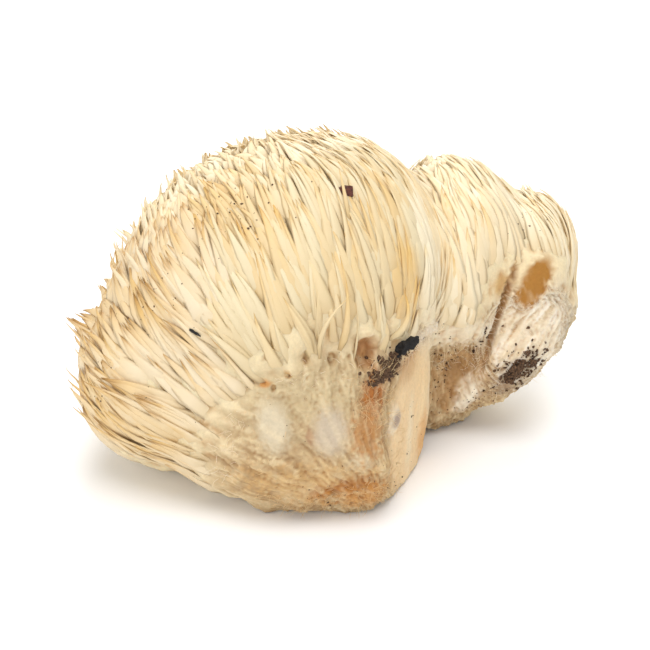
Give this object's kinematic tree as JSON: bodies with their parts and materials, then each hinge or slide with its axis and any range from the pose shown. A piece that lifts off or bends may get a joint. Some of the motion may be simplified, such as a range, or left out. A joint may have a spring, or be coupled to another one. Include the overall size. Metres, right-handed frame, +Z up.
{
  "type": "lion's mane mushroom",
  "caption": "Picked lion's mane mushroom with shaggy cream spines on fused lobes, a torn bald base, and bits of bark and soil clinging to it.",
  "frame": {"origin": "on the resting surface, at the middle of the object's box", "axes": "+Z up from the surface it lies on, +X from the big shaggy lobe towards the small side lobe, -Y towards the bald torn base"},
  "size_m": [0.1496, 0.1052, 0.0956],
  "materials": {
    "mushroom_flesh": "matte, moist, slightly waxy",
    "charred_bark": "charred, dull",
    "red_brown_bark": "dry, dull",
    "leaf_mould": "crumbly, matte"
  },
  "bodies": {
    "root": {"fruit_body": "mushroom_flesh", "bark_chip": "charred_bark", "mould_crumb": "leaf_mould", "soil_clod": "leaf_mould", "soil_crumb": "leaf_mould", "bark_flake": "red_brown_bark", "needle_sliver": "charred_bark"}
  },
  "joints": []
}
